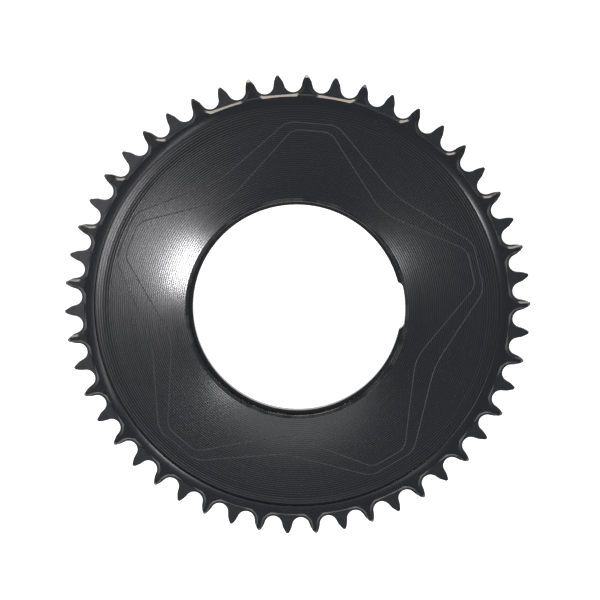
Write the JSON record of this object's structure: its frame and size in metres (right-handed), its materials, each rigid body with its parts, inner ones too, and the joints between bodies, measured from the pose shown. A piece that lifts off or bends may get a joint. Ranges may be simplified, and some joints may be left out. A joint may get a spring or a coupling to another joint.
{
  "type": "chainring",
  "caption": "Round bicycle chainring with alternating wide and narrow teeth, a smooth rim, a solid dished face turned in fine rings, and an open bore with a notched lip.",
  "frame": {"origin": "on the ring's axis, in the plane of the spider seat on the back, which is also the plane that the ring lies on", "axes": "+Z along the ring's axis towards the show face; +X towards the notch in the lip, 1.4 degrees from its middle; +Y completes the right-handed frame"},
  "size_m": [0.21, 0.21, 0.0071],
  "materials": {
    "anodised_aluminium": "black anodised, satin to glossy, turned face"
  },
  "bodies": {
    "root": {"chainring": "anodised_aluminium"}
  },
  "joints": []
}
